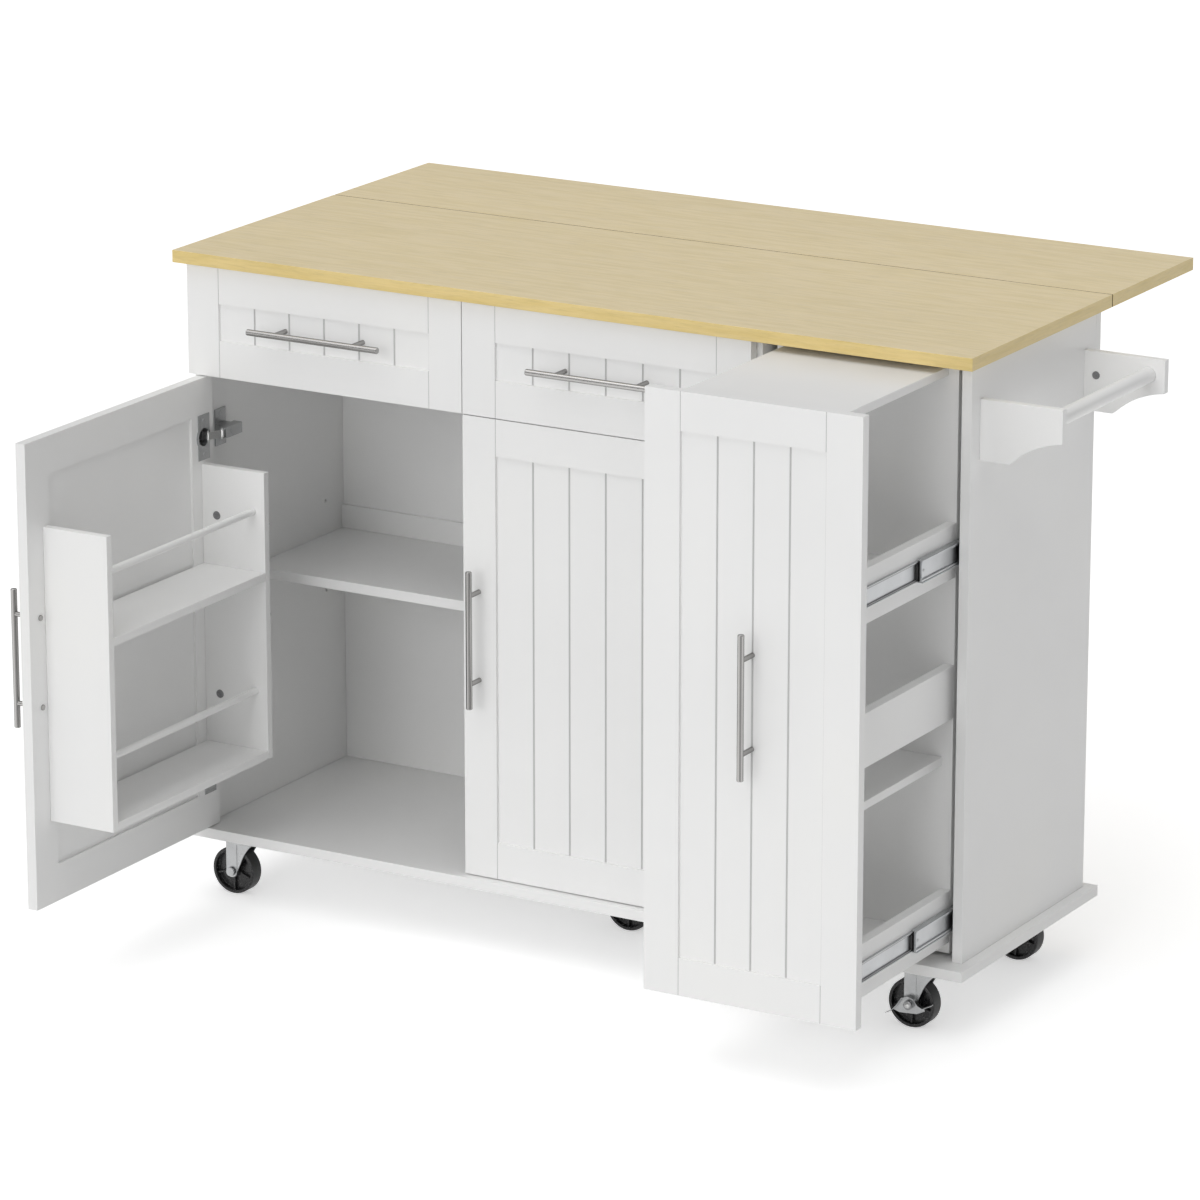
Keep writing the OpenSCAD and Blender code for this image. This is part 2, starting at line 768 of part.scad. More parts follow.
// Bracket that hangs a stay's wall pivot below the rail
module wall_bracket(x) {
    ear_y = wall_pivot[0] - link_w / 2;
    difference() {
        union() {
            board([x - wall_plate_w / 2, rail_y, under_z - rail_h],
                [x + wall_plate_w / 2, rail_y + wall_plate_t, under_z - rail_h + wall_plate_h]);
            board([x, ear_y, wall_pivot[1]],
                [x + link_t, rail_y + wall_plate_t, under_z - rail_h - turn_gap]);
            board([x, rail_y, under_z - rail_h - turn_gap - past],
                [x + link_t, rail_y + wall_plate_t, under_z - rail_h + past]);
            rod_x([x, wall_pivot[0], wall_pivot[1]], link_t, link_w / 2);
        }
        rod_x([x - past, wall_pivot[0], wall_pivot[1]], link_t + 2 * past, link_pin_r + shaft_play);
    }
}

module leaf_rail_hardware() place() color(zinc) {
    for (x = butt_xs)
        rail_butt(x);
    for (x = stay_xs)
        wall_bracket(x);
}

module drop_leaf() place() color(maple)
    board([0, leaf_y, under_z], [top_l, leaf_y + leaf_d, top_z]);

module leaf_butt(x) difference() {
    union() {
        board([x, axis_y + knuckle_r + plate_clear, under_z - butt_t],
            [x + butt_l, axis_y + knuckle_r + butt_leaf_d, under_z]);
        leaf_fingers(x);
        knuckles_of(x, 1);
    }
    rod_x([x - past, axis_y, axis_z], butt_l + 2 * past, butt_pin_r + shaft_play);
}

// Bracket under the leaf that holds a stay's other pivot
module leaf_bracket(x) difference() {
    union() {
        board([x, leaf_pivot[0] - leaf_bracket_l / 2, under_z - butt_t],
            [x + wall_plate_w / 2, leaf_pivot[0] + leaf_bracket_l / 2, under_z]);
        board([x, leaf_pivot[0] - link_w / 2, leaf_pivot[1]],
            [x + link_t, leaf_pivot[0] + link_w / 2, under_z]);
        rod_x([x, leaf_pivot[0], leaf_pivot[1]], link_t, link_w / 2);
    }
    rod_x([x - past, leaf_pivot[0], leaf_pivot[1]], link_t + 2 * past, link_pin_r + shaft_play);
}

lower_dx = link_t + link_gap;
upper_dx = lower_dx + link_t + link_gap;
leaf_bracket_dx = upper_dx + link_t + link_gap;

module leaf_hardware() place() color(zinc) {
    for (x = butt_xs)
        leaf_butt(x);
    for (x = stay_xs)
        leaf_bracket(x + leaf_bracket_dx);
}

// A flat link with round ends, from the origin along +y, with its rivet at the origin
module stay_link(l, rivet_from, rivet_to) {
    cube([link_t, l, link_w / 2]);
    translate([0, 0, -link_w / 2]) cube([link_t, l, link_w / 2]);
    for (y = [0, l])
        rod_x([0, y, 0], link_t, link_w / 2);
    rod_x([rivet_from, 0, 0], rivet_to - rivet_from, link_pin_r);
}

module stay_lower_links() place() color(zinc)
    for (x = stay_xs)
        translate([x + lower_dx, wall_pivot[0], wall_pivot[1]])
            rotate([stay_turn, 0, 0])
                stay_link(lower_l, -lower_dx - link_gap, link_t);

module stay_upper_links() place() color(zinc)
    for (x = stay_xs)
        translate([x + upper_dx, leaf_pivot[0], leaf_pivot[1]])
            rotate([stay_turn + 180, 0, 0])
                stay_link(upper_l, 0, 2 * link_t + 2 * link_gap);

// ---- Door hinges ----

cup_x = fronts_x + cup_inset;
pin_half = link_half_h + turn_gap + ear_t;

// Hole for a hinge cup in a closed door
module cup_bores() {
    for (z = hinge_zs)
        rod_y([cup_x, door_back - cup_depth, z], cup_depth + past, cup_dia / 2 + seat_play);
}

// Two ears above and below a link, with a bore each for its pin
module pivot_ears(at, r, pin_r, root_y, z) {
    for (ear_z = [z - pin_half, z + link_half_h + turn_gap])
        difference() {
            union() {
                rod_z([at[0], at[1], ear_z], ear_t, r);
                board([at[0] - r, min(at[1], root_y), ear_z],
                    [at[0] + r, max(at[1], root_y), ear_z + ear_t]);
            }
            rod_z([at[0], at[1], ear_z - past], ear_t + 2 * past, pin_r + shaft_play);
        }
}

// Cup, flange and pivot ears on a closed door's back
module hinge_cup(pivot, z) {
    difference() {
        union() {
            rod_y([cup_x, door_back - cup_depth, z], cup_depth, cup_dia / 2);
            board([cup_x - flange_w / 2, door_back, z - flange_h / 2],
                [cup_x + flange_w / 2, door_back + flange_t, z + flange_h / 2]);
        }
        rod_y([cup_x, door_back - cup_depth + cup_wall, z], cup_depth + past, flange_w / 2 - cup_wall);
    }
    pivot_ears(pivot, barrel_r, hinge_pin_r, door_back - cup_depth + cup_wall / 2, z);
    for (s = [-1, 1])
        rod_y([cup_x, door_back + flange_t, z + s * flange_screw_z], screw_head_t, screw_head_dia / 2);
}

// Link between the arm's pivot and the door's pivot, with a pin at each end
module hinge_link(pivot, arm, z) {
    run = pivot - arm;
    translate([arm[0], arm[1], z - link_half_h])
        linear_extrude(2 * link_half_h) {
            circle(r = arm_barrel_r);
            translate(run) circle(r = barrel_r);
            rotate(atan2(run[1], run[0]))
                translate([0, -link_bar / 2])
                    square([norm(run), link_bar]);
        }
    for (end_z = [z - pin_half, z + link_half_h - past]) {
        rod_z([arm[0], arm[1], end_z], pin_half - link_half_h + past, arm_pin_r);
        rod_z([pivot[0], pivot[1], end_z], pin_half - link_half_h + past, hinge_pin_r);
    }
}

// Arm and mounting plate on a panel's face at x = wall, its inside towards +x
module hinge_arm(arm, z, wall) {
    body_y = arm[1] + cheek_r + link_bar / 2;
    end_y = arm[1] + arm_l;
    plate_y = end_y - 2 * mount_half_w;
    out_x = arm[0] + cheek_r;
    pivot_ears(arm, cheek_r, arm_pin_r, body_y + past, z);
    board([out_x - arm_w, body_y, z - pin_half], [out_x, end_y, z + pin_half]);
    board([wall + mount_t, plate_y, z - mount_foot_h / 2],
        [out_x - arm_w / 2, end_y - mount_t, z + mount_foot_h / 2]);
    board([wall, plate_y, z - mount_h / 2], [wall + mount_t, end_y, z + mount_h / 2]);
    for (s = [-1, 1])
        rod_x([wall + mount_t, plate_y + mount_half_w, z + s * mount_screw_z],
            screw_head_t, screw_head_dia / 2);
    rod_x([out_x, body_y + arm_l / 3, z], screw_head_t, screw_head_dia / 2);
}

module door_hinge_arms() place() color(zinc)
    for (z = hinge_zs) {
        hinge_arm(full_arm, z, left_in);
        right_hand() hinge_arm(half_arm, z, fronts_x + right_col_end - div_left);
    }

module left_hinge_links() place() color(nickel)
    translate([full_arm[0], full_arm[1], 0])
        rotate([0, 0, link_open])
            translate([-full_arm[0], -full_arm[1], 0])
                for (z = hinge_zs)
                    hinge_link(full_pivot, full_arm, z);

module right_hinge_links() place() color(nickel) right_hand()
    for (z = hinge_zs)
        hinge_link(half_pivot, half_arm, z);

module left_hinge_cups() place() color(zinc) left_open()
    for (z = hinge_zs)
        hinge_cup(full_pivot, z);

module right_hinge_cups() place() color(zinc) right_hand()
    for (z = hinge_zs)
        hinge_cup(half_pivot, z);

// ---- Doors ----

module left_door() place() color(white_paint) left_open() difference() {
    translate([fronts_x, front_y, door_z]) panelled_front(column_w, door_h, front_boards, true);
    cup_bores();
    upright(left_door_bar) handle_bores();
    rack_bolts(shaft_play);
}

module left_door_handle() place() color(nickel) left_open() upright(left_door_bar) {
    bar_handle(door_bar_l);
    handle_screws();
}

module right_door() place() color(white_paint) difference() {
    translate([right_col_x, front_y, door_z]) panelled_front(column_w, door_h, front_boards, true);
    right_hand() cup_bores();
    upright(right_door_bar) handle_bores();
}

module right_door_handle() place() color(nickel) upright(right_door_bar) {
    bar_handle(door_bar_l);
    handle_screws();
}

// ---- Spice rack on the left door ----

rack_end_xs = [rack_x, rack_x + rack_l - rack_t];
rod_y_at = rack_front - rod_inset;

// Bolts from the door into the end boards
module rack_bolts(play = 0) {
    for (x = rack_end_xs, z = cam_zs)
        rod_y([x + rack_t / 2, door_back - cam_bolt_in, z],
            cam_bolt_in + cam_inset - cam_dia / 2 + cam_bite, cam_bolt_dia / 2 + play);
}

// Cam discs in the end boards' inner faces
module rack_cams(play = 0) {
    for (z = cam_zs) {
        rod_x([rack_end_xs[0] + rack_t - cam_t, door_back + cam_inset, z], cam_t + play, cam_dia / 2 + play);
        rod_x([rack_end_xs[1] - play, door_back + cam_inset, z], cam_t + play, cam_dia / 2 + play);
    }
}

module rack_rods(play = 0) {
    for (z = rack_shelf_tops)
        rod_x([rack_end_xs[0] + rack_t - rod_seat, rod_y_at, z + rod_lift],
            rack_end_xs[1] - rack_end_xs[0] - rack_t + 2 * rod_seat, rod_dia / 2 + play);
}

module spice_rack_sides() place() color(white_paint) left_open() difference() {
    for (x = rack_end_xs)
        board([x, door_back, rack_bottom], [x + rack_t, rack_front, rack_top]);
    rack_bolts(shaft_play);
    rack_cams(seat_play);
    rack_rods(shaft_play);
}

module spice_rack_shelves() place() color(white_paint) left_open()
    for (z = rack_shelf_tops)
        board([rack_end_xs[0] + rack_t, door_back, z - rack_t], [rack_end_xs[1], rack_front, z]);

module spice_rack_rods() place() color(white_paint) left_open() rack_rods();

module spice_rack_cams() place() color(zinc) left_open() {
    difference() {
        rack_cams();
        for (z = cam_zs) {
            translate([rack_end_xs[0] + rack_t, door_back + cam_inset, z])
                rotate([0, 90, 0])
                    cross_slot();
            translate([rack_end_xs[1], door_back + cam_inset, z])
                rotate([0, -90, 0])
                    cross_slot();
        }
    }
    rack_bolts();
}

// ---- Slides ----

// Outer rail of a slide on a face at x = 0, open towards +x
module outer_rail() {
    translate([0, 0, -slide_half_h]) cube([slide_wall, slide_l, 2 * slide_half_h]);
    for (s = [-1, 1])
        translate([0, 0, s > 0 ? cab_lip_in : -slide_half_h])
            cube([slide_wall + web_gap, slide_l, lip_t]);
}

// Inner rail of a slide on a face at x = 0, open towards -x
module inner_rail(half_h, lip) {
    translate([-slide_wall, 0, -half_h]) cube([slide_wall, slide_l, 2 * half_h]);
    for (s = [-1, 1])
        translate([-slide_wall - lip, 0, s > 0 ? half_h - lip_t : -half_h])
            cube([slide_wall + lip, slide_l, lip_t]);
}

// Middle rail of a slide, its web between the other two rails' webs
module middle_rail() {
    translate([slide_t / 2 - slide_wall / 2, 0, -mid_half_h])
        cube([slide_wall, slide_l, 2 * mid_half_h]);
    for (s = [-1, 1])
        translate([slide_wall + turn_gap * 2, 0, s > 0 ? mid_half_h - lip_t : -mid_half_h])
            cube([slide_t - 2 * slide_wall - 4 * turn_gap, slide_l, lip_t]);
}

module at_slide(x, z) translate([x, slide_y, z]) children();
module facing_left(x) translate([x, 0, 0]) mirror([1, 0, 0]) children();

module fixed_slide_rails() place() color(zinc) {
    for (bay = drawer_bays) {
        at_slide(bay[0], drawer_slide_z) outer_rail();
        facing_left(bay[1]) at_slide(0, drawer_slide_z) outer_rail();
    }
    for (z = pull_slide_zs) {
        at_slide(div_right, z) outer_rail();
        facing_left(right_in) at_slide(0, z) outer_rail();
    }
}

// ---- Drawers ----

module drawer_front_at(x, bar_x) difference() {
    translate([x, front_y, drawer_z]) panelled_front(column_w, drawer_front_h, front_boards);
    translate(drawer_bar_at + [bar_x, 0, 0]) handle_bores();
}

// Four walls and a bottom, each a board of its own, with holes for the handle's screw heads
module drawer_box_in(bay, bar_x) {
    x0 = bay[0] + slide_t;
    x1 = bay[1] - slide_t;
    z1 = drawer_box_z + drawer_box_h;
    y1 = door_back + drawer_box_l;
    in0 = x0 + drawer_wall + board_gap;
    in1 = x1 - drawer_wall - board_gap;
    for (x = [x0, x1 - drawer_wall])
        board([x, door_back, drawer_box_z], [x + drawer_wall, y1, z1]);
    difference() {
        board([in0, door_back, drawer_box_z], [in1, door_back + drawer_wall, z1]);
        for (s = [-1, 1])
            rod_y(drawer_bar_at + [bar_x + s * post_span / 2, front_t - past, 0],
                drawer_wall + 2 * past, handle_screw_head / 2 + turn_gap);
    }
    board([in0, y1 - drawer_wall, drawer_box_z], [in1, y1, z1]);
    board([in0, door_back + drawer_wall + board_gap, drawer_box_z],
        [in1, y1 - drawer_wall - board_gap, drawer_box_z + drawer_floor]);
}

module drawer_runners_in(bay) {
    at_slide(bay[0] + slide_t, drawer_slide_z) inner_rail(mid_half_h, runner_lip);
    facing_left(bay[1] - slide_t)
        at_slide(0, drawer_slide_z)
            inner_rail(mid_half_h, runner_lip);
}

module drawer_handle_at(bar_x) translate(drawer_bar_at + [bar_x, 0, 0]) {
    bar_handle(drawer_bar_l, recess_d);
    handle_screws(recess_d);
}

left_bar_x = fronts_x + column_w / 2;
right_bar_x = right_col_x + column_w / 2;

module left_drawer_front() place() color(white_paint) drawer_front_at(fronts_x, left_bar_x);
module left_drawer_box() place() color(white_paint) drawer_box_in(drawer_bays[0], left_bar_x);
module left_drawer_handle() place() color(nickel) drawer_handle_at(left_bar_x);
module left_drawer_runners() place() color(zinc) drawer_runners_in(drawer_bays[0]);
module right_drawer_front() place() color(white_paint) drawer_front_at(right_col_x, right_bar_x);
module right_drawer_box() place() color(white_paint) drawer_box_in(drawer_bays[1], right_bar_x);
module right_drawer_handle() place() color(nickel) drawer_handle_at(right_bar_x);
module right_drawer_runners() place() color(zinc) drawer_runners_in(drawer_bays[1]);

// ---- Pull-out ----

module pullout_front() place() color(white_paint) pulled() difference() {
    translate([pull_x, front_y, door_z]) panelled_front(pull_front_w, pull_h, pull_boards);
    upright(pull_bar) handle_bores();
}

module pullout_handle() place() color(nickel) pulled() upright(pull_bar) {
    bar_handle(door_bar_l, recess_d);
    handle_screws(recess_d);
}

module pullout_box() place() color(white_paint) pulled() {
    shelf_x0 = guard_xs[0] + guard_t;
    shelf_x1 = guard_xs[1];
    board([guard_xs[0], pull_back_y, floor_z + pull_back_lo],
        [guard_xs[1] + guard_t, pull_back_y + guard_t, pull_top_z]);
    shelf_y1 = pull_back_y - board_gap;
    for (z = [pull_shelf_lo, pull_shelf_mid, pull_shelf_hi])
        board([shelf_x0, door_back, floor_z + z], [shelf_x1, shelf_y1, floor_z + z + pull_shelf_t]);
    board([shelf_x0, door_back, pull_top_z - pull_shelf_t], [shelf_x1, shelf_y1, pull_top_z]);
}

module pullout_guards() place() color(white_paint) pulled()
    for (x = guard_xs, z = [guard_lo, guard_mid, guard_hi])
        board([x, door_back, floor_z + z], [x + guard_t, pull_back_y, floor_z + z + guard_h]);

module pullout_box_slides() place() color(zinc) pulled()
    for (z = pull_slide_zs) {
        at_slide(guard_xs[0], z) inner_rail(box_half_h, web_gap - slide_wall);
        facing_left(guard_xs[1] + guard_t) at_slide(0, z) inner_rail(box_half_h, web_gap - slide_wall);
    }

module pullout_mid_slides() place() color(zinc) pulled(mid_share)
    for (z = pull_slide_zs) {
        at_slide(div_right, z) middle_rail();
        facing_left(right_in) at_slide(0, z) middle_rail();
    }

// ---- Casters ----

module plate_screws_at(spot)
    for (sx = [-1, 1], sy = [-1, 1])
        translate([spot[0] + sx * plate_screw_at, spot[1] + sy * plate_screw_at, base_z])
            children();

// Plate, upper race and king pin, with four screws into the base panel
module caster_plate(spot) {
    difference() {
        translate([spot[0] - plate_w / 2, spot[1] - plate_w / 2, plate_z])
            cube([plate_w, plate_w, plate_t]);
        plate_screws_at(spot)
            rod_z([0, 0, -plate_t - past], plate_t + 2 * past, plate_screw / 2 + shaft_play);
    }
    rod_z([spot[0], spot[1], crown_top], race_h, race_r);
    rod_z([spot[0], spot[1], crown_z - turn_gap], crown_t + turn_gap + past, king_r);
    rod_z([spot[0], spot[1], crown_z - turn_gap - king_head_t], king_head_t, king_head_r);
    plate_screws_at(spot) {
        rod_z([0, 0, -plate_t], plate_t + plate_screw_in, plate_screw / 2);
        rod_z([0, 0, -plate_t - plate_screw_h], plate_screw_h, plate_screw_head / 2);
    }
}

module caster_plates() place() color(zinc)
    for (c = caster_spots)
        caster_plate(c);

// Side view of a fork's flank, x and z from the axle
module flank_profile() {
    top = crown_z + past - axle_z;
    run = [leg_w / 2 + flank_run * cos(flank_slope), flank_run * sin(flank_slope)];
    centre = run + flank_r * [sin(flank_slope), -cos(flank_slope)];
    end_slope = acos((top - centre[1]) / flank_r);
    polygon(concat(
        [[0, 0], [leg_w / 2, 0]],
        [for (i = [0:flank_steps])
            let (s = flank_slope + (end_slope - flank_slope) * i / flank_steps)
                centre + flank_r * [-sin(s), cos(s)]],
        [[0, top]]
    ));
}

module caster_fork(spot) translate([spot[0], spot[1], 0]) {
    difference() {
        union() {
            for (s = [-1, 1]) {
                translate([-trail, s > 0 ? cheek_in + fork_t : -cheek_in, axle_z])
                    rotate([90, 0, 0])
                        linear_extrude(fork_t)
                            flank_profile();
                translate([-trail - leg_w / 2, s > 0 ? cheek_in : -cheek_in - strip_out, axle_z])
                    cube([leg_w, strip_out, crown_top - axle_z]);
                rod_y([-trail, s > 0 ? cheek_in : -cheek_in - strip_out, axle_z], strip_out, leg_w / 2);
            }
            translate([-trail - leg_w / 2, -cheek_in - fork_t, crown_z])
                cube([trail + leg_w / 2, 2 * (cheek_in + fork_t), crown_t]);
            rod_z([0, 0, crown_z], crown_t, crown_r);
        }
        rod_z([0, 0, crown_z - past], crown_t + 2 * past, king_r + shaft_play);
        rod_y([-trail, -cheek_in - strip_out - past, axle_z],
            2 * (cheek_in + strip_out + past), axle_dia / 2 + shaft_play);
    }
    translate([-trail, 0, axle_z]) axle_bolt();
}

module axle_bolt() {
    shank = cheek_in + strip_out + lever_t + 2 * lever_gap;
    rod_y([0, -shank, 0], 2 * shank, axle_dia / 2);
    rod_y([0, -shank - axle_head_t, 0], axle_head_t, axle_head_dia / 2);
    rod_y([0, shank, 0], axle_head_t, axle_head_dia / 2);
}

// Half of the wheel's section: tread and rim, web and hub, from the bore outwards
module wheel_half_profile() {
    r = wheel_d / 2;
    half = wheel_w / 2;
    bore = axle_dia / 2 + shaft_play;
    translate([bore, 0]) square([r - tread - bore, web_half]);
    translate([bore, 0]) square([hub_r - bore, half]);
    translate([r - tread, 0]) square([tread - wheel_edge, half]);
    translate([r - tread, 0]) square([tread, half - wheel_edge]);
    translate([r - wheel_edge, half - wheel_edge]) circle(r = wheel_edge);
}

module caster_wheel(spot) translate([spot[0] - trail, spot[1], axle_z]) {
    rotate([90, 0, 0])
        rotate_extrude($fn = 96) {
            wheel_half_profile();
            mirror([0, 1]) wheel_half_profile();
        }
    for (i = [0:spokes - 1])
        rotate([0, 360 * i / spokes + spoke_turn, 0])
            translate([hub_r - past, -spoke_half, -spoke_t / 2])
                cube([wheel_d / 2 - tread - hub_r + 2 * past, 2 * spoke_half, spoke_t]);
}

// Upper edge of the brake lever, x and z from the axle: two pedals and the arch between
lever_edge = [[-34, -16], [-25, -11], [-17, -2], [-10, 9], [0, 13], [9, 10], [15, 2], [22, -1], [36, 6]];
lever_belly = [[24, -6], [12, -12], [0, -13], [-15, -14]];

// A thin plate around the axle, its upper edge bent out towards -y as a lip
module brake_lever(spot)
    translate([spot[0] - trail, spot[1] - cheek_in - strip_out - lever_gap, axle_z])
        difference() {
            rotate([90, 0, 0]) {
                linear_extrude(lever_t)
                    polygon(concat([for (i = [1:len(lever_edge) - 2]) lever_edge[i]], lever_belly));
                linear_extrude(lever_lip)
                    polygon(concat(lever_edge,
                        [for (i = [len(lever_edge) - 1:-1:0]) lever_edge[i] - [0, lever_t]]));
            }
            rod_y([0, -lever_t - past, 0], lever_t + 2 * past, axle_dia / 2 + shaft_play);
        }

module front_left_fork() place() color(zinc) caster_fork(caster_spots[0]);
module front_left_wheel() place() color(black_rubber) caster_wheel(caster_spots[0]);
module front_right_fork() place() color(zinc) caster_fork(caster_spots[1]);
module front_right_wheel() place() color(black_rubber) caster_wheel(caster_spots[1]);
module rear_left_fork() place() color(zinc) caster_fork(caster_spots[2]);
module rear_left_wheel() place() color(black_rubber) caster_wheel(caster_spots[2]);
module rear_right_fork() place() color(zinc) caster_fork(caster_spots[3]);
module rear_right_wheel() place() color(black_rubber) caster_wheel(caster_spots[3]);
module middle_fork() place() color(zinc) caster_fork(caster_spots[4]);
module middle_wheel() place() color(black_rubber) caster_wheel(caster_spots[4]);
module front_right_brake_lever() place() color(zinc) brake_lever(caster_spots[1]);
module rear_left_brake_lever() place() color(zinc) brake_lever(caster_spots[2]);

counter_top();
base_panel();
left_side_panel();
right_side_panel();
bay_divider();
drawer_divider_panels();
back_panel();
shelf();
shelf_batten();
shelf_pins();
rear_rail();
towel_brackets();
towel_bar();
towel_bracket_cams();
leaf_rail_hardware();
door_hinge_arms();
fixed_slide_rails();
caster_plates();
drop_leaf();
leaf_hardware();
stay_lower_links();
stay_upper_links();
left_door();
left_door_handle();
left_hinge_cups();
left_hinge_links();
spice_rack_sides();
spice_rack_shelves();
spice_rack_rods();
spice_rack_cams();
right_door();
right_door_handle();
right_hinge_cups();
right_hinge_links();
left_drawer_front();
left_drawer_box();
left_drawer_handle();
left_drawer_runners();
right_drawer_front();
right_drawer_box();
right_drawer_handle();
right_drawer_runners();
pullout_front();
pullout_handle();
pullout_box();
pullout_guards();
pullout_box_slides();
pullout_mid_slides();
front_left_fork();
front_left_wheel();
front_right_fork();
front_right_wheel();
rear_left_fork();
rear_left_wheel();
rear_right_fork();
rear_right_wheel();
middle_fork();
middle_wheel();
front_right_brake_lever();
rear_left_brake_lever();
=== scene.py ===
"""Looks of the drop-leaf kitchen island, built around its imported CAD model."""
import json
import math

import bmesh
import bpy
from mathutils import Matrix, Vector


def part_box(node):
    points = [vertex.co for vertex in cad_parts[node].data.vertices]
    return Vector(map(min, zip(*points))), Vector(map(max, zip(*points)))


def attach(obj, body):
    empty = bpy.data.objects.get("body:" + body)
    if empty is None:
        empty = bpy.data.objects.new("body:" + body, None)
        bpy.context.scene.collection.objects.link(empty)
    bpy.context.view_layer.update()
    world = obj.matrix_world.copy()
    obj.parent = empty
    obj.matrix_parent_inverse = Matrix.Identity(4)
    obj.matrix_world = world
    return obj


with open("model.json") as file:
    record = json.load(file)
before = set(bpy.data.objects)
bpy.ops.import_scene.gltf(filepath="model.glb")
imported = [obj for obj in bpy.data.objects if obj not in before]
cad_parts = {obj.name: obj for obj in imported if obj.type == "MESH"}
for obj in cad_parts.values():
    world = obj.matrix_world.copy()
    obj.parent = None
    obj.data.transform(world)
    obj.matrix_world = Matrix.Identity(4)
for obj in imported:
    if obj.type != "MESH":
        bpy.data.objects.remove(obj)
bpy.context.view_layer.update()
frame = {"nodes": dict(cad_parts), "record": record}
NODES = frame["nodes"]
scene = bpy.context.scene


# ---- Node helpers ----

class Tree:
    """A material's node tree, with short calls to add and join nodes."""

    def __init__(self, name):
        self.mat = bpy.data.materials.new(name)
        self.mat.use_nodes = True
        self.nt = self.mat.node_tree
        self.nt.nodes.clear()
        self.out = self.nt.nodes.new("ShaderNodeOutputMaterial")
        self.bsdf = self.nt.nodes.new("ShaderNodeBsdfPrincipled")
        self.join(self.bsdf, "BSDF", self.out, "Surface")

    def add(self, kind, **inputs):
        n = self.nt.nodes.new(kind)
        for k, v in inputs.items():
            if k in n.inputs:
                n.inputs[k].default_value = v
            else:
                setattr(n, k, v)
        return n

    def join(self, a, out, b, inp):
        self.nt.links.new(a.outputs[out], b.inputs[inp])

    def coords(self, scale=(1, 1, 1), kind="Object", location=(0, 0, 0)):
        c = self.add("ShaderNodeTexCoord")
        m = self.add("ShaderNodeMapping")
        m.inputs["Scale"].default_value = scale
        m.inputs["Location"].default_value = location
        self.join(c, kind, m, "Vector")
        return m

    def noise(self, scale, coords=(1, 1, 1), detail=4.0, rough=0.55, distortion=0.0):
        m = self.coords(coords)
        n = self.add("ShaderNodeTexNoise", Scale=scale, Detail=detail, Roughness=rough, Distortion=distortion)
        self.join(m, "Vector", n, "Vector")
        return n

    def ramp(self, src, out, stops):
        r = self.add("ShaderNodeValToRGB")
        e = r.color_ramp.elements
        while len(e) < len(stops):
            e.new(0.5)
        for el, (pos, col) in zip(e, stops):
            el.position = pos
            el.color = (*col, 1) if len(col) == 3 else (col[0], col[0], col[0], 1)
        self.join(src, out, r, "Fac")
        return r

    def scale(self, src, out, lo, hi, from_lo=0.3, from_hi=0.7):
        r = self.add("ShaderNodeMapRange")
        r.inputs["From Min"].default_value = from_lo
        r.inputs["From Max"].default_value = from_hi
        r.inputs["To Min"].default_value = lo
        r.inputs["To Max"].default_value = hi
        self.join(src, out, r, "Value")
        return r

    def mix(self, a, a_out, b, b_out, factor=0.5, blend="MIX"):
        m = self.add("ShaderNodeMix", data_type="RGBA", blend_type=blend)
        if isinstance(factor, tuple):
            self.join(factor[0], factor[1], m, 0)
        else:
            m.inputs[0].default_value = factor
        self.nt.links.new(a.outputs[a_out], m.inputs[6])
        self.nt.links.new(b.outputs[b_out], m.inputs[7])
        return m

    def bump(self, src, out, strength, distance, after=None):
        b = self.add("ShaderNodeBump", Strength=strength, Distance=distance)
        self.join(src, out, b, "Height")
        if after:
            self.join(after, "Normal", b, "Normal")
        return b


# ---- Materials ----

def white_lacquer(name, base=(0.90, 0.90, 0.895), rough=0.36):
    """Satin lacquer on board: faint clouding, a fine sprayed texture and slight changes in gloss."""
    t = Tree(name)
    cloud = t.noise(3.2, detail=3)
    dull = tuple(c * 0.975 for c in base)
    warm = (base[0] * 1.012, base[1] * 1.01, base[2])
    tint = t.ramp(cloud, "Fac", [(0.30, dull), (0.55, base), (0.75, warm)])
    t.join(tint, "Color", t.bsdf, "Base Color")
    gloss = t.noise(14.0, detail=5)
    r = t.scale(gloss, "Fac", rough - 0.05, rough + 0.07)
    t.join(r, "Result", t.bsdf, "Roughness")
    peel = t.noise(900.0, detail=2, rough=0.5)
    wave = t.noise(60.0, detail=3)
    b1 = t.bump(wave, "Fac", 0.10, 0.0006)
    b2 = t.bump(peel, "Fac", 0.12, 0.00012, b1)
    t.join(b2, "Normal", t.bsdf, "Normal")
    t.bsdf.inputs["Specular IOR Level"].default_value = 0.45
    return t.mat


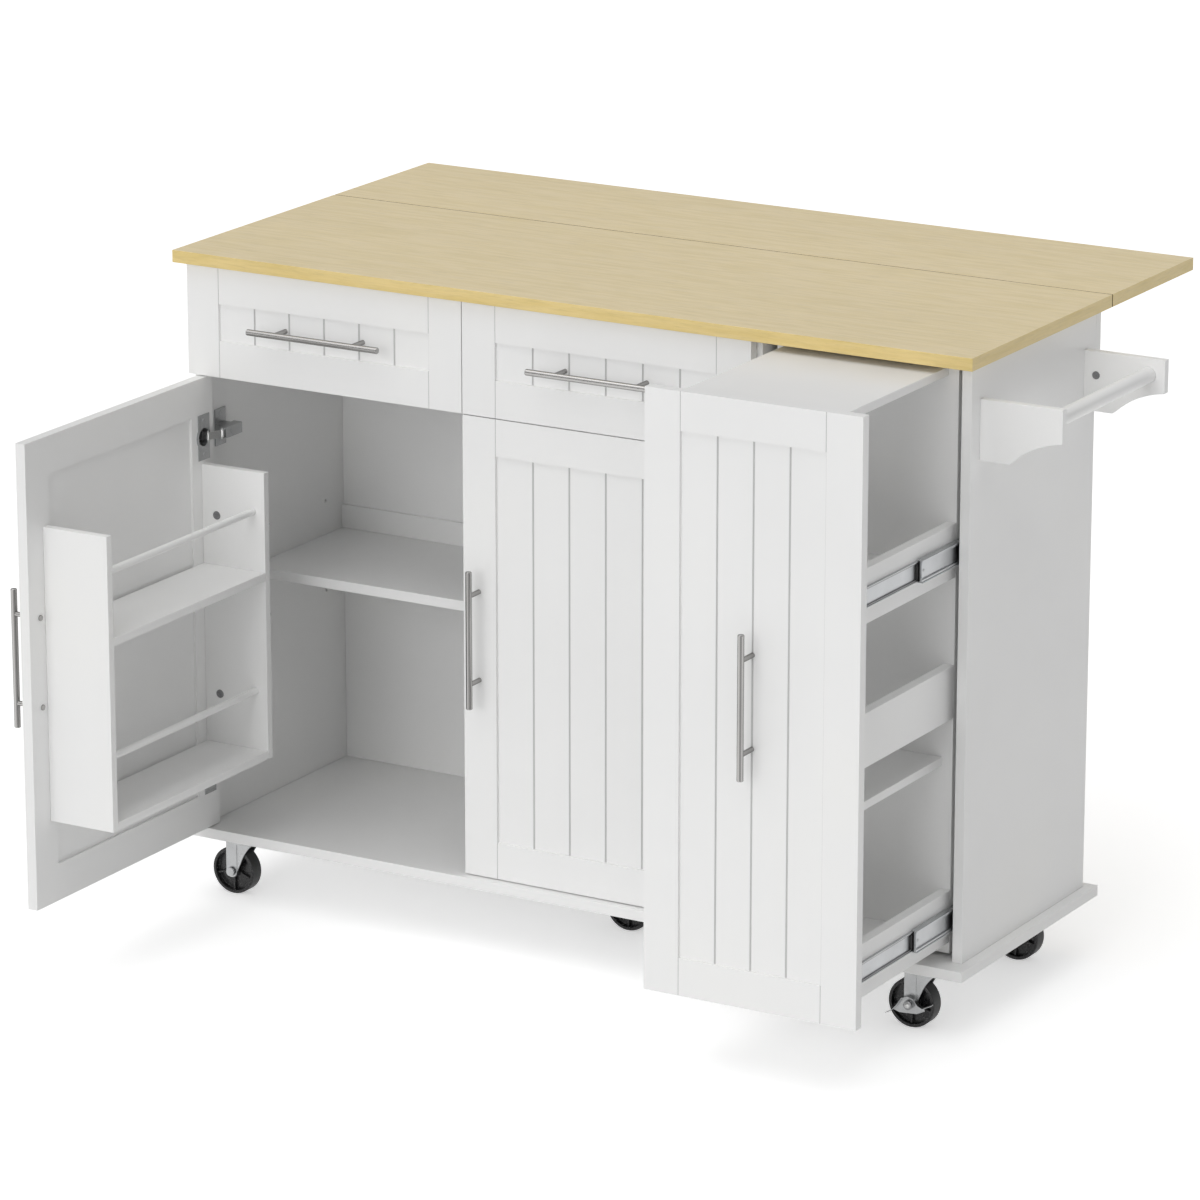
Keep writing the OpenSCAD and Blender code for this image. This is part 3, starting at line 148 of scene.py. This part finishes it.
def maple(name, base, along=0):
    """Pale clear-coated wood with fine, even grain along one axis."""
    t = Tree(name)
    s_wide, s_fine, s_pore = [95, 95, 95], [330, 330, 330], [800, 800, 800]
    s_wide[along], s_fine[along], s_pore[along] = 9, 26, 90
    wide = t.noise(1.0, tuple(s_wide), detail=5, rough=0.6, distortion=0.3)
    fine = t.noise(1.0, tuple(s_fine), detail=4, rough=0.6)
    pore = t.noise(1.0, tuple(s_pore), detail=2, rough=0.5)
    broad = t.noise(3.0, (0.7, 1.6, 1.6), detail=2)
    tone = [tuple(c * k for c, k in zip(base, f)) for f in (
        (0.94, 0.925, 0.84), (0.985, 0.98, 0.95), (1.03, 1.035, 1.08), (1.0, 0.995, 0.99))]
    c_wide = t.ramp(wide, "Fac", list(zip((0.30, 0.46, 0.60, 0.75), tone)))
    c_fine = t.ramp(fine, "Fac", [(0.30, (0.90,)), (0.50, (1.0,)), (0.72, (1.03,))])
    c_pore = t.ramp(pore, "Fac", [(0.30, (0.88,)), (0.40, (1.0,)), (0.9, (1.0,))])
    c_broad = t.ramp(broad, "Fac", [(0.3, (0.98,)), (0.7, (1.015,))])
    m1 = t.mix(c_wide, "Color", c_fine, "Color", 0.8, "MULTIPLY")
    m2 = t.mix(m1, 2, c_pore, "Color", 0.5, "MULTIPLY")
    m3 = t.mix(m2, 2, c_broad, "Color", 1.0, "MULTIPLY")
    t.join(m3, 2, t.bsdf, "Base Color")
    r = t.scale(fine, "Fac", 0.34, 0.44)
    t.join(r, "Result", t.bsdf, "Roughness")
    b1 = t.bump(fine, "Fac", 0.10, 0.0003)
    b2 = t.bump(pore, "Fac", 0.10, 0.0002, b1)
    t.join(b2, "Normal", t.bsdf, "Normal")
    return t.mat


def metal(name, base, rough, grain=(220, 220, 220), spread=0.07, cloud=0.04, reflection_bands=None):
    """Plated steel: fine satin grain, slight clouding and uneven gloss.

    The last argument holds stops of lightness from the middle of a round bar (0) to its edge (1): painted
    reflection, dark and bright bands multiplied into the base colour by how squarely the surface faces the
    viewer.
    """
    t = Tree(name)
    t.bsdf.inputs["Metallic"].default_value = 1.0
    clouds = t.noise(22.0, detail=4)
    dull = tuple(c * (1 - cloud) for c in base)
    bright = tuple(min(1, c * (1 + cloud)) for c in base)
    tint = t.ramp(clouds, "Fac", [(0.3, dull), (0.7, bright)])
    if reflection_bands:
        turn = t.add("ShaderNodeLayerWeight", Blend=0.5)
        shade = t.ramp(turn, "Facing", [(at, (level,)) for at, level in reflection_bands])
        tint = t.mix(tint, "Color", shade, "Color", 1.0, "MULTIPLY")
        t.join(tint, 2, t.bsdf, "Base Color")
    else:
        t.join(tint, "Color", t.bsdf, "Base Color")
    satin = t.noise(6.0, grain, detail=5, rough=0.6)
    r = t.scale(satin, "Fac", rough - spread, rough + spread)
    t.join(r, "Result", t.bsdf, "Roughness")
    b = t.bump(satin, "Fac", 0.08, 0.0002)
    t.join(b, "Normal", t.bsdf, "Normal")
    return t.mat


def wheel_black(name):
    """Black wheel: a duller tread with fine scuffs around a glossy moulded core.

    The distance from the axle is in shares of the wheel's own box, 0.5 at the rim.
    """
    core_edge, tread_edge = 0.485, 0.495
    core_rough, tread_rough = 0.22, 0.50
    t = Tree(name)
    c = t.coords(kind="Generated", location=(-0.5, 0, -0.5))
    flat = t.add("ShaderNodeVectorMath", operation="MULTIPLY")
    flat.inputs[1].default_value = (1, 0, 1)
    t.join(c, "Vector", flat, 0)
    length = t.add("ShaderNodeVectorMath", operation="LENGTH")
    t.join(flat, "Vector", length, 0)
    tread = t.scale(length, "Value", core_rough, tread_rough, core_edge, tread_edge)
    scuff = t.noise(160.0, detail=5)
    dust = t.ramp(scuff, "Fac", [(0.45, (0.012, 0.012, 0.013)), (0.85, (0.035, 0.034, 0.033))])
    t.join(dust, "Color", t.bsdf, "Base Color")
    vary = t.scale(scuff, "Fac", -0.05, 0.07)
    total = t.add("ShaderNodeMath", operation="ADD")
    t.join(tread, "Result", total, 0)
    t.join(vary, "Result", total, 1)
    t.join(total, "Value", t.bsdf, "Roughness")
    b = t.bump(scuff, "Fac", 0.12, 0.0002)
    t.join(b, "Normal", t.bsdf, "Normal")
    return t.mat


WHITE = white_lacquer("white_lacquer")
# Painted shade: a darker copy of the white lacquer for the sloping sides of the fronts' grooves.
GROOVE_SHADE = white_lacquer("groove_painted_shade", (0.62, 0.62, 0.617), 0.5)
MAPLE = maple("maple", (0.84, 0.70, 0.42))
# Painted shade by facing: darker, more saturated copies of maple for the faces looking along y and along x,
# standing for the sheen the top catches and the edges miss; the end copy also runs its grain along y.
MAPLE_SHADED_EDGE = maple("maple_edge_painted_shade", (0.80, 0.62, 0.26))
MAPLE_SHADED_END = maple("maple_end_grain_and_painted_shade", (0.78, 0.62, 0.29), along=1)
# Painted shade: a dark brown copy of maple for the worktop's and leaf's facing edges, standing for the shade
# in the seam between them.
SEAM_SHADE = maple("seam_painted_shade", (0.20, 0.145, 0.075))
# Painted reflection on the round nickel bars: a dark middle, a bright band and darkening edges.
BAR_PAINTED_REFLECTION = ((0.0, 0.30), (0.04, 0.42), (0.14, 1.0), (0.42, 0.95), (0.62, 0.45), (0.85, 0.22))
NICKEL = metal("satin_nickel", (0.46, 0.452, 0.443), 0.18, spread=0.03, reflection_bands=BAR_PAINTED_REFLECTION)
ZINC = metal("zinc_steel", (0.44, 0.445, 0.45), 0.30, cloud=0.10)
DARK_ZINC = metal("dark_zinc", (0.27, 0.27, 0.275), 0.34, cloud=0.12)
CHROME = metal("bright_chrome", (0.88, 0.88, 0.87), 0.30, cloud=0.03)
AXLE_STEEL = metal("axle_steel", (0.56, 0.56, 0.555), 0.32, cloud=0.04)
SLIDE = metal("slide_steel", (0.50, 0.51, 0.52), 0.36, grain=(20, 200, 200), cloud=0.06)
BLACK = wheel_black("wheel_rubber")

MATERIALS = {
    "white_lacquer": WHITE, "maple": MAPLE, "satin_nickel": NICKEL, "zinc_steel": ZINC, "wheel_rubber": BLACK}
SPECIAL = {
    "spice_rack_cams": DARK_ZINC, "towel_bracket_cams": DARK_ZINC,
    "fixed_slide_rails": SLIDE, "pullout_box_slides": SLIDE, "pullout_mid_slides": SLIDE,
    "left_drawer_runners": SLIDE, "right_drawer_runners": SLIDE,
    "left_hinge_links": CHROME, "right_hinge_links": CHROME,
}


# ---- CAD nodes: materials and softened edges ----

WELD_GAP = 1e-6
FLAT_ANGLE, SHARP_ANGLE = math.radians(0.6), math.radians(40)


def soften(o, width):
    """Merges the mesh's split points and flat triangles, then rounds its sharp edges."""
    w = o.modifiers.new("weld", "WELD")
    w.merge_threshold = WELD_GAP
    d = o.modifiers.new("flat", "DECIMATE")
    d.decimate_type = "DISSOLVE"
    d.angle_limit = FLAT_ANGLE
    b = o.modifiers.new("edge", "BEVEL")
    b.width = width
    b.segments = 2
    b.limit_method = "ANGLE"
    b.angle_limit = SHARP_ANGLE
    b.use_clamp_overlap = False
    b.harden_normals = True
    b.miter_outer = "MITER_ARC"


slots = {s["node"]: s["material_slot"] for s in frame["record"]["subparts"]}
EDGE = {
    "white_lacquer": 0.0009, "maple": 0.0008, "satin_nickel": 0.0002, "zinc_steel": 0.0002,
    "wheel_rubber": 0.0005}
FRONTS = {"left_drawer_front", "right_drawer_front", "left_door", "right_door", "pullout_front"}
PLAIN = FRONTS | {
    "shelf_pins", "left_door_handle", "right_door_handle", "left_drawer_handle",
    "right_drawer_handle", "pullout_handle", "towel_bar", "spice_rack_rods"}
for name, o in NODES.items():
    mat = SPECIAL.get(name, MATERIALS[slots[name]])
    o.data.materials.clear()
    o.data.materials.append(mat)
    if name not in PLAIN:
        soften(o, EDGE[slots[name]])


def paint(node, material, wanted):
    """Gives one more material to the node's flat faces whose outward normal is wanted."""
    mesh = NODES[node].data
    mesh.materials.append(material)
    for face in mesh.polygons:
        if wanted(face.normal):
            face.material_index = len(mesh.materials) - 1


SQUARE_ON = 0.9     # least share of a normal along an axis for a face that looks that way
SLOPING = 0.3       # least share along both level axes for the sloping sides of a groove
# Painted shade by facing: edge and end faces of worktop and leaf get the darker maple copies.
for name in ("counter_top", "drop_leaf"):
    paint(name, MAPLE_SHADED_EDGE, lambda n: abs(n.y) > SQUARE_ON)
    paint(name, MAPLE_SHADED_END, lambda n: abs(n.x) > SQUARE_ON)
# Painted shade in the seam: the worktop's rear edge and the leaf's front edge get the dark seam tone.
paint("counter_top", SEAM_SHADE, lambda n: n.y > SQUARE_ON)
paint("drop_leaf", SEAM_SHADE, lambda n: n.y < -SQUARE_ON)
# Painted shade in the grooves: the fronts' sloping faces get the darker lacquer.
for name in sorted(FRONTS):
    paint(name, GROOVE_SHADE, lambda n: min(abs(n.x), abs(n.y)) > SLOPING)


# ---- Small pieces that the CAD model leaves out ----

def solid(name, material, body, build):
    """A piece drawn by build(bm), riding on a body, with the material it is given."""
    bm = bmesh.new()
    build(bm)
    bmesh.ops.recalc_face_normals(bm, faces=bm.faces)
    mesh = bpy.data.meshes.new(name)
    bm.to_mesh(mesh)
    bm.free()
    o = bpy.data.objects.new(name, mesh)
    scene.collection.objects.link(o)
    o.data.materials.append(material)
    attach(o, body)
    return o


def box(bm, lo, hi):
    """A box between two corners."""
    made = bmesh.ops.create_cube(bm, size=1)["verts"]
    mid = [(a + b) / 2 for a, b in zip(lo, hi)]
    size = [abs(b - a) for a, b in zip(lo, hi)]
    bmesh.ops.scale(bm, verts=made, vec=size)
    bmesh.ops.translate(bm, verts=made, vec=mid)
    return made


def block(bm, lo, hi, round_by):
    """A box between two corners, with its edges rounded."""
    made = box(bm, lo, hi)
    edges = list({e for v in made for e in v.link_edges})
    bmesh.ops.bevel(bm, geom=edges, offset=round_by, segments=2, affect="EDGES", profile=0.5)


def dome(bm, centre, direction, radius, height):
    """A round screw or rivet head that stands on a face."""
    rings, steps = 5, 24
    n = Vector(direction).normalized()
    side = n.orthogonal().normalized()
    up = n.cross(side)
    turns = [k * math.tau / steps for k in range(steps)]
    rows = []
    for i in range(rings):
        a = math.pi / 2 * i / rings
        r, h = radius * math.cos(a), height * math.sin(a)
        middle = Vector(centre) + n * h
        rows.append([bm.verts.new(middle + r * (side * math.cos(t) + up * math.sin(t))) for t in turns])
    top = bm.verts.new(Vector(centre) + n * height)
    for a, b in zip(rows, rows[1:]):
        for k in range(steps):
            bm.faces.new((a[k], a[(k + 1) % steps], b[(k + 1) % steps], b[k]))
    for k in range(steps):
        bm.faces.new((rows[-1][k], rows[-1][(k + 1) % steps], top))
    bm.faces.new(rows[0][::-1])


MM = 0.001
WEB_T = 1.2 * MM
LIP_T = 1.2 * MM
MID_SPAN, MID_H = 9.4 * MM, 31.2 * MM
BOX_SPAN, BOX_H = 4.4 * MM, 28 * MM
RACE_H, RACE_OUT, RACE_ROUND = 3.4 * MM, 2.6 * MM, 0.5 * MM
# Height and reach of the painted shade strips in the box rails, and the rounding used for them and for the
# stops.
BOX_SHADE_H, BOX_SHADE_OUT, BOX_ROUND = 2.2 * MM, 2.0 * MM, 0.4 * MM
END_T, END_REACH = 1.6 * MM, 0.7
BUMPER = 4 * MM
SKIN = 0.2 * MM
RIVET_R, RIVET_H, RIVET_BACK = 2.2 * MM, 1.1 * MM, 9 * MM
FLANGE_HALF = 33 * MM
CUP_R, CUP_FLOOR = 12.9 * MM, 1.1 * MM
AXLE_R, AXLE_H = 4.4 * MM, 2.6 * MM
WASHER_R, WASHER_H = 6.6 * MM, 0.8 * MM

mid_lo, mid_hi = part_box("pullout_mid_slides")
box_lo, box_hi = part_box("pullout_box_slides")


def rails(lo, hi, height):
    """Side (-1 left, 1 right), outer x and lower z of each of the four rails in a node's box."""
    return [(s, (hi if s > 0 else lo)[0], z) for s in (-1, 1) for z in (lo[2], hi[2] - height)]


def mid_races(bm):
    """Ball races inside both lips of each middle rail, and a plate across its front end."""
    for s, x, z in rails(mid_lo, mid_hi, MID_H):
        web = x - s * (MID_SPAN - WEB_T) / 2
        low, high = z + LIP_T, z + MID_H - LIP_T
        for z0 in (low, high - RACE_H):
            block(bm, (web, mid_lo[1], z0), (web + s * RACE_OUT, mid_hi[1], z0 + RACE_H), RACE_ROUND)
        plate_lo = web, mid_lo[1], low + RACE_H
        plate_hi = web + s * RACE_OUT * END_REACH, mid_lo[1] + END_T, high - RACE_H
        box(bm, plate_lo, plate_hi)


def mid_rivets(bm):
    for s, x, z in rails(mid_lo, mid_hi, MID_H):
        web = x - s * (MID_SPAN - WEB_T) / 2
        dome(bm, (web, mid_lo[1] + RIVET_BACK, z + MID_H / 2), (s, 0, 0), RIVET_R, RIVET_H)


def box_shade_strips(bm):
    """Dark strips inside both lips of each box rail: painted shade along the inner corners of the channel."""
    for s, x, z in rails(box_lo, box_hi, BOX_H):
        web = x - s * (BOX_SPAN - WEB_T)
        inner = web + s * BOX_SHADE_OUT
        for z0 in (z + LIP_T, z + BOX_H - LIP_T - BOX_SHADE_H):
            block(bm, (web, box_lo[1], z0), (inner, box_hi[1], z0 + BOX_SHADE_H), BOX_ROUND)


def bumpers(bm):
    """Black stops at the middle rails' front ends, inside the box rails' channels."""
    inset = LIP_T + BOX_SHADE_H + SKIN
    for s, x, z in rails(box_lo, box_hi, BOX_H):
        web = x - s * (BOX_SPAN - WEB_T - SKIN)
        block(bm, (web, mid_lo[1] - BUMPER, z + inset), (x, mid_lo[1], z + BOX_H - inset), BOX_ROUND)


def cup_shade_discs(node, axis):
    """Painted shade: thin dark discs at the bottoms of a door's two hinge cups, which open along an axis (0
    for x, 1 for y).
    """
    lo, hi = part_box(node)
    direction = tuple(1 if i == axis else 0 for i in range(3))

    def build(bm):
        for z in (lo[2] + FLANGE_HALF, hi[2] - FLANGE_HALF):
            at = Vector(((lo[0] + hi[0]) / 2, (lo[1] + hi[1]) / 2, z))
            at[axis] = lo[axis] + CUP_FLOOR
            dome(bm, at, direction, CUP_R, SKIN)
    return build


def axle_cap(lever, wheel, radius, height):
    """A low dome on the lever's outer face, in line with the wheel's axle."""
    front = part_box(lever)[0][1]
    lo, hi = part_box(wheel)
    at = ((lo[0] + hi[0]) / 2, front, (lo[2] + hi[2]) / 2)
    return lambda bm: dome(bm, at, (0, -1, 0), radius, height)


solid("mid_rail_races", SLIDE, "pullout_mid", mid_races)
solid("mid_rail_rivets", ZINC, "pullout_mid", mid_rivets)
solid("mid_rail_stops", BLACK, "pullout_mid", bumpers)
# Painted shade: dark strips along the box rails' lips.
solid("box_rail_shade_strips", DARK_ZINC, "pullout", box_shade_strips)
# Painted shade: thin black discs in the doors' hinge cups.
solid("left_cup_shade_discs", BLACK, "left_door", cup_shade_discs("left_hinge_cups", 0))
solid("right_cup_shade_discs", BLACK, "right_door", cup_shade_discs("right_hinge_cups", 1))
for corner in ("front_right", "rear_left"):
    body = corner + "_brake"
    pair = corner + "_brake_lever", corner + "_wheel"
    solid(corner + "_axle_head", AXLE_STEEL, body, axle_cap(*pair, AXLE_R, AXLE_H))
    solid(corner + "_washer", DARK_ZINC, body, axle_cap(*pair, WASHER_R, WASHER_H))


# ---- Floor, light and camera ----

WORLD_LIGHT = 0.355
HORIZON = 0.04
BAND_LOW, BAND_HIGH = 0.16, 0.34
FLOOR_GLOW = 0.46
FLOOR_TONE = 0.92
FLOOR_HALF = 40
SUNS = {     # energy, angle in degrees, direction towards the sun
    "front_sun": (0.92, 40, (-0.02, -0.96, 0.22)),
    "high_sun": (1.06, 60, (-0.05, -0.30, 0.95)),
}
SENSOR_MM = 36
FRAME_PX, FOCAL_PX = 1200, 5950
CAMERA_PLACE = (3.965, -6.8742, 2.8216)
CAMERA_DOWN, CAMERA_TURN = math.radians(16.22), math.radians(30.346)
NEAR_CLIP, FAR_CLIP = 0.1, 200


def seen_directly(nt):
    """1 for camera, glossy and transmission rays, 0 for the rest."""
    path = nt.nodes.new("ShaderNodeLightPath")
    a = nt.nodes.new("ShaderNodeMath")
    a.operation = "MAXIMUM"
    b = nt.nodes.new("ShaderNodeMath")
    b.operation = "MAXIMUM"
    nt.links.new(path.outputs["Is Camera Ray"], a.inputs[0])
    nt.links.new(path.outputs["Is Glossy Ray"], a.inputs[1])
    nt.links.new(a.outputs[0], b.inputs[0])
    nt.links.new(path.outputs["Is Transmission Ray"], b.inputs[1])
    return b.outputs[0]


def floor_material():
    """A pale floor that looks almost white and still takes shadows."""
    mat = bpy.data.materials.new("pale_floor")
    mat.use_nodes = True
    nt = mat.node_tree
    nt.nodes.clear()
    out = nt.nodes.new("ShaderNodeOutputMaterial")
    diff = nt.nodes.new("ShaderNodeBsdfDiffuse")
    diff.inputs["Color"].default_value = (FLOOR_TONE, FLOOR_TONE, FLOOR_TONE, 1)
    glow = nt.nodes.new("ShaderNodeEmission")
    glow.inputs["Color"].default_value = (1, 1, 1, 1)
    gain = nt.nodes.new("ShaderNodeMath")
    gain.operation = "MULTIPLY"
    gain.inputs[1].default_value = FLOOR_GLOW
    nt.links.new(seen_directly(nt), gain.inputs[0])
    nt.links.new(gain.outputs[0], glow.inputs["Strength"])
    add = nt.nodes.new("ShaderNodeAddShader")
    nt.links.new(diff.outputs[0], add.inputs[0])
    nt.links.new(glow.outputs[0], add.inputs[1])
    nt.links.new(add.outputs[0], out.inputs["Surface"])
    return mat


def studio_world():
    """White where it is seen, dimmer as a light, with a dim band above the horizon in reflections."""
    world = bpy.data.worlds.new("studio")
    scene.world = world
    world.use_nodes = True
    nt = world.node_tree
    nt.nodes.clear()
    out = nt.nodes.new("ShaderNodeOutputWorld")
    background = nt.nodes.new("ShaderNodeBackground")
    background.inputs["Color"].default_value = (1, 1, 1, 1)
    gain = nt.nodes.new("ShaderNodeMapRange")
    gain.inputs["To Min"].default_value = WORLD_LIGHT
    gain.inputs["To Max"].default_value = 1.0
    nt.links.new(seen_directly(nt), gain.inputs["Value"])

    direction = nt.nodes.new("ShaderNodeTexCoord")
    axes = nt.nodes.new("ShaderNodeSeparateXYZ")
    band = nt.nodes.new("ShaderNodeMapRange")
    band.interpolation_type = "SMOOTHSTEP"
    band.inputs["From Min"].default_value = BAND_LOW
    band.inputs["From Max"].default_value = BAND_HIGH
    band.inputs["To Min"].default_value = HORIZON - 1
    band.inputs["To Max"].default_value = 0
    path = nt.nodes.new("ShaderNodeLightPath")
    total = nt.nodes.new("ShaderNodeMath")
    total.operation = "MULTIPLY_ADD"
    nt.links.new(direction.outputs["Generated"], axes.inputs[0])
    nt.links.new(axes.outputs["Z"], band.inputs["Value"])
    nt.links.new(band.outputs["Result"], total.inputs[0])
    nt.links.new(path.outputs["Is Glossy Ray"], total.inputs[1])
    nt.links.new(gain.outputs["Result"], total.inputs[2])
    nt.links.new(total.outputs[0], background.inputs["Strength"])
    nt.links.new(background.outputs[0], out.inputs["Surface"])


def lay_floor():
    bm = bmesh.new()
    bmesh.ops.create_grid(bm, x_segments=8, y_segments=8, size=FLOOR_HALF)
    mesh = bpy.data.meshes.new("floor")
    bm.to_mesh(mesh)
    bm.free()
    floor = bpy.data.objects.new("floor", mesh)
    scene.collection.objects.link(floor)
    floor.data.materials.append(floor_material())


def add_sun(name, energy, angle, towards):
    data = bpy.data.lights.new(name, "SUN")
    data.energy = energy
    data.angle = math.radians(angle)
    sun = bpy.data.objects.new(name, data)
    sun.rotation_euler = Vector(towards).to_track_quat("Z", "Y").to_euler()
    scene.collection.objects.link(sun)


def place_camera():
    data = bpy.data.cameras.new("camera")
    data.sensor_width = SENSOR_MM
    data.lens = FOCAL_PX / FRAME_PX * SENSOR_MM
    data.clip_start = NEAR_CLIP
    data.clip_end = FAR_CLIP
    camera = bpy.data.objects.new("camera", data)
    camera.location = CAMERA_PLACE
    camera.rotation_euler = (math.pi / 2 - CAMERA_DOWN, 0, CAMERA_TURN)
    scene.collection.objects.link(camera)
    scene.camera = camera


studio_world()
lay_floor()
for name, (energy, angle, towards) in SUNS.items():
    add_sun(name, energy, angle, towards)
place_camera()
scene.view_settings.view_transform = "Standard"
